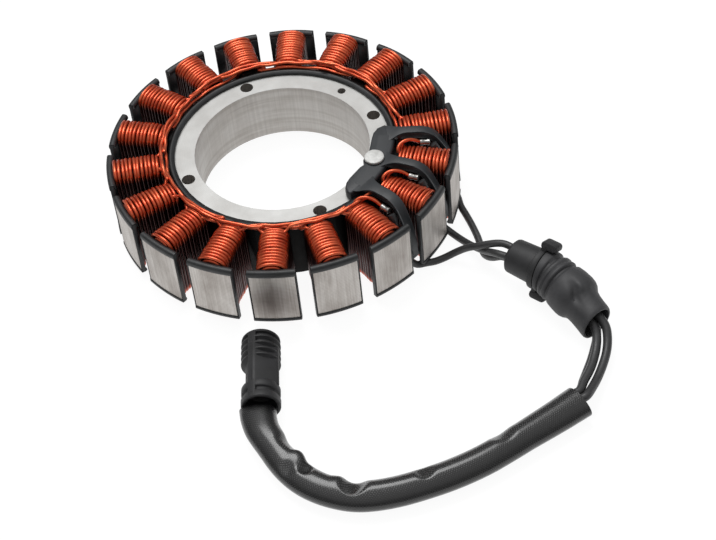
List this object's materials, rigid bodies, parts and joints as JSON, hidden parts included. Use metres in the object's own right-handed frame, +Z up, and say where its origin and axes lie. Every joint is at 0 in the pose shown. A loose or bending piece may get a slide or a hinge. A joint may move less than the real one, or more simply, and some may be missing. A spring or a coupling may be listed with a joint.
{
  "type": "wound stator",
  "caption": "Ring stator with enamelled wire coils on wide pole shoes, a riveted lead holder, a case plug and a sleeved harness that ends in a round plug.",
  "frame": {"origin": "on the ring's axis, level with the lowest crests of the coils, which is the plane that the part stands on", "axes": "+Z up along the ring's axis, +X through the middle of the lead holder"},
  "size_m": [0.2269, 0.2175, 0.0355],
  "materials": {
    "core_steel": "stamped and ground lamination edges",
    "insulation": "semi-matt black moulding",
    "wire_enamel": "clear red enamel over copper",
    "holder_plastic": "matt black moulding",
    "rivet_metal": "dull",
    "tinned_copper": "bright tin over copper",
    "lead_rubber": "smooth",
    "plug_plastic": "moulded",
    "boot_rubber": "soft, smooth",
    "sleeve_yarn": "knitted glass yarn with a black coating",
    "pin_metal": "tinned"
  },
  "bodies": {
    "root": {"laminated_core": "core_steel", "slot_insulation": "insulation", "coil_01": "wire_enamel", "coil_02": "wire_enamel", "coil_03": "wire_enamel", "coil_04": "wire_enamel", "coil_05": "wire_enamel", "coil_06": "wire_enamel", "coil_07": "wire_enamel", "coil_08": "wire_enamel", "coil_09": "wire_enamel", "coil_10": "wire_enamel", "coil_11": "wire_enamel", "coil_12": "wire_enamel", "coil_13": "wire_enamel", "coil_14": "wire_enamel", "coil_15": "wire_enamel", "coil_16": "wire_enamel", "coil_17": "wire_enamel", "coil_18": "wire_enamel", "crossover_wire_1": "wire_enamel", "crossover_wire_2": "wire_enamel", "crossover_wire_3": "wire_enamel", "coil_tail_1": "wire_enamel", "coil_tail_2": "wire_enamel", "coil_tail_3": "wire_enamel", "lead_holder": "holder_plastic", "holder_rivet": "rivet_metal", "crimp_1": "tinned_copper", "crimp_2": "tinned_copper", "crimp_3": "tinned_copper", "lead_wire_1": "lead_rubber", "lead_wire_2": "lead_rubber", "lead_wire_3": "lead_rubber", "harness_wire_1": "lead_rubber", "harness_wire_2": "lead_rubber", "harness_wire_3": "lead_rubber", "case_plug": "plug_plastic", "end_plug": "plug_plastic", "rubber_boot": "boot_rubber", "braided_sleeve": "sleeve_yarn", "contact_pin_1": "pin_metal", "contact_pin_2": "pin_metal", "contact_pin_3": "pin_metal"}
  },
  "joints": []
}
